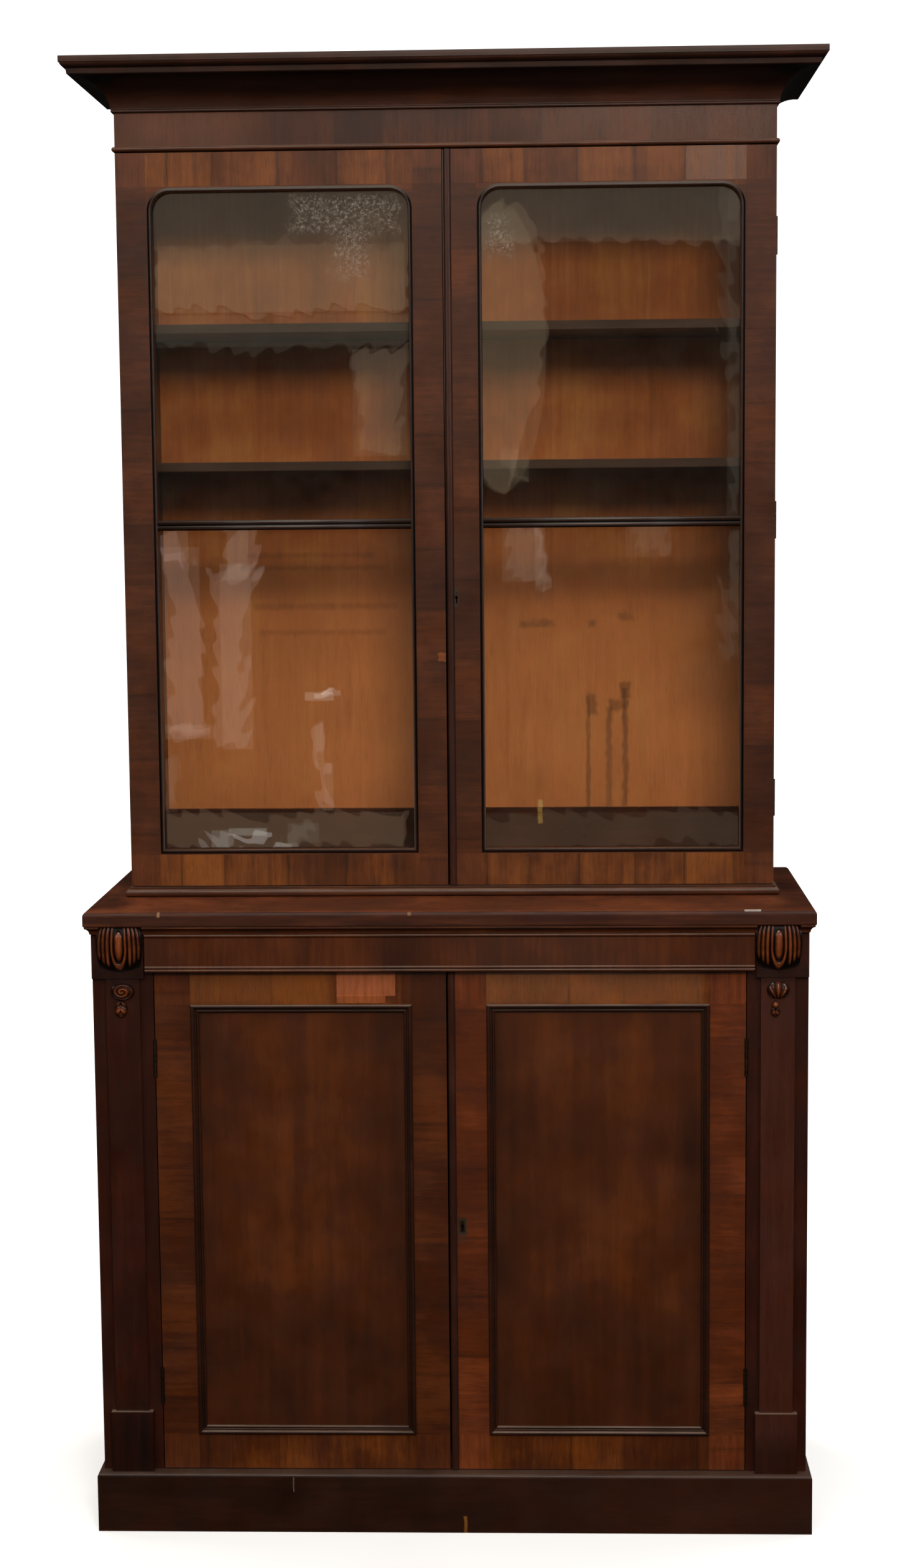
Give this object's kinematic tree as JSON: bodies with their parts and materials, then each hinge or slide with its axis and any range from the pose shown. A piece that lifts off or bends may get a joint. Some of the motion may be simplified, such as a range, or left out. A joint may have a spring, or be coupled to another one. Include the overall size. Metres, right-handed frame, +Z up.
{
  "type": "bookcase with glass doors",
  "caption": "Tall Victorian mahogany bookcase: glazed upper doors under a deep cornice, on a panelled cupboard base with pilasters, carved corbels and a hidden frieze drawer.",
  "frame": {"origin": "on the floor, under the middle of the bookcase's width and depth", "axes": "+X to the right seen from the front, +Y to the back, +Z up"},
  "size_m": [1.194, 0.46, 2.35],
  "materials": {
    "mahogany_case": "french polished",
    "mahogany_crossband": "french polished",
    "mahogany_panel": "french polished",
    "mahogany_moulding": "french polished",
    "mahogany_carved": "french polished",
    "shelf_wood": "worn",
    "dark_rail": "polished",
    "pine": "stained",
    "glass": "polished",
    "brass": "aged"
  },
  "bodies": {
    "case": {"cornice_moulding": "mahogany_moulding", "cornice_frieze": "mahogany_crossband", "cornice_back_rail": "pine", "frieze_bead": "mahogany_moulding", "glue_blocks": "pine", "upper_sides": "mahogany_case", "upper_top_board": "mahogany_case", "upper_floor_board": "mahogany_case", "upper_back_boards": "pine", "upper_back_rail": "dark_rail", "upper_shelves": "shelf_wood", "shelf_pegs": "brass", "waist_moulding": "mahogany_moulding", "base_top_board": "mahogany_case", "under_top_moulding": "mahogany_moulding", "base_sides": "mahogany_case", "base_floor_board": "pine", "base_back_boards": "pine", "base_front_stiles": "mahogany_case", "pilasters": "mahogany_case", "corbels": "mahogany_carved", "carved_drops": "mahogany_carved", "drawer_rail": "mahogany_case", "base_bearers": "pine", "cupboard_shelf": "pine", "plinth": "mahogany_case", "case_hinge_leaves": "brass"},
    "drawer": {"drawer_front": "mahogany_crossband", "drawer_box": "pine", "drawer_bottom": "pine"},
    "glazed_door_left": {"glazed_door_left_stiles": "mahogany_crossband", "glazed_door_left_rails": "mahogany_crossband", "glazed_door_left_panes": "glass", "glazed_door_left_glazing_mouldings": "mahogany_moulding", "glazed_door_left_hinge_leaves": "brass", "glazed_door_left_bolt_case": "brass"},
    "glazed_door_right": {"glazed_door_right_stiles": "mahogany_crossband", "glazed_door_right_rails": "mahogany_crossband", "glazed_door_right_panes": "glass", "glazed_door_right_glazing_mouldings": "mahogany_moulding", "glazed_door_right_hinge_leaves": "brass", "glazed_door_right_meeting_bead": "mahogany_moulding", "glazed_door_right_lock": "brass"},
    "cupboard_door_left": {"cupboard_door_left_stiles": "mahogany_crossband", "cupboard_door_left_rails": "mahogany_crossband", "cupboard_door_left_panel": "mahogany_panel", "cupboard_door_left_panel_moulding": "mahogany_moulding", "cupboard_door_left_hinge_leaves": "brass", "cupboard_door_left_bolt_case": "brass"},
    "cupboard_door_right": {"cupboard_door_right_stiles": "mahogany_crossband", "cupboard_door_right_rails": "mahogany_crossband", "cupboard_door_right_panel": "mahogany_panel", "cupboard_door_right_panel_moulding": "mahogany_moulding", "cupboard_door_right_hinge_leaves": "brass", "cupboard_door_right_meeting_bead": "mahogany_moulding", "cupboard_door_right_lock": "brass"},
    "glazed_bolt": {"glazed_door_left_bolt": "brass"},
    "glazed_lock_bolt": {"glazed_door_right_lock_bolt": "brass"},
    "cupboard_bolt": {"cupboard_door_left_bolt": "brass"},
    "cupboard_lock_bolt": {"cupboard_door_right_lock_bolt": "brass"}
  },
  "joints": [
    {"name": "glazed_door_left_swing", "type": "hinge", "parent": "case", "child": "glazed_door_left", "pos_m": [-0.5245, -0.05075, 1.622], "axis": [0, 0, -1], "range_deg": [0, 170]},
    {"name": "glazed_door_right_swing", "type": "hinge", "parent": "case", "child": "glazed_door_right", "pos_m": [0.5245, -0.05075, 1.622], "axis": [0, 0, 1], "range_deg": [0, 170]},
    {"name": "cupboard_door_left_swing", "type": "hinge", "parent": "case", "child": "cupboard_door_left", "pos_m": [-0.47025, -0.2085, 0.507], "axis": [0, 0, -1], "range_deg": [0, 110]},
    {"name": "cupboard_door_right_swing", "type": "hinge", "parent": "case", "child": "cupboard_door_right", "pos_m": [0.47025, -0.2085, 0.507], "axis": [0, 0, 1], "range_deg": [0, 110]},
    {"name": "drawer_slide", "type": "slide", "parent": "case", "child": "drawer", "axis": [0, -1, 0], "range_m": [0, 0.28]},
    {"name": "glazed_bolt_slide", "type": "slide", "parent": "glazed_door_left", "child": "glazed_bolt", "axis": [0, 0, 1], "range_m": [0, 0.011]},
    {"name": "cupboard_bolt_slide", "type": "slide", "parent": "cupboard_door_left", "child": "cupboard_bolt", "axis": [0, 0, 1], "range_m": [0, 0.011]},
    {"name": "glazed_lock_slide", "type": "slide", "parent": "glazed_door_right", "child": "glazed_lock_bolt", "axis": [-1, 0, 0], "range_m": [0, 0.009]},
    {"name": "cupboard_lock_slide", "type": "slide", "parent": "cupboard_door_right", "child": "cupboard_lock_bolt", "axis": [-1, 0, 0], "range_m": [0, 0.009]}
  ]
}
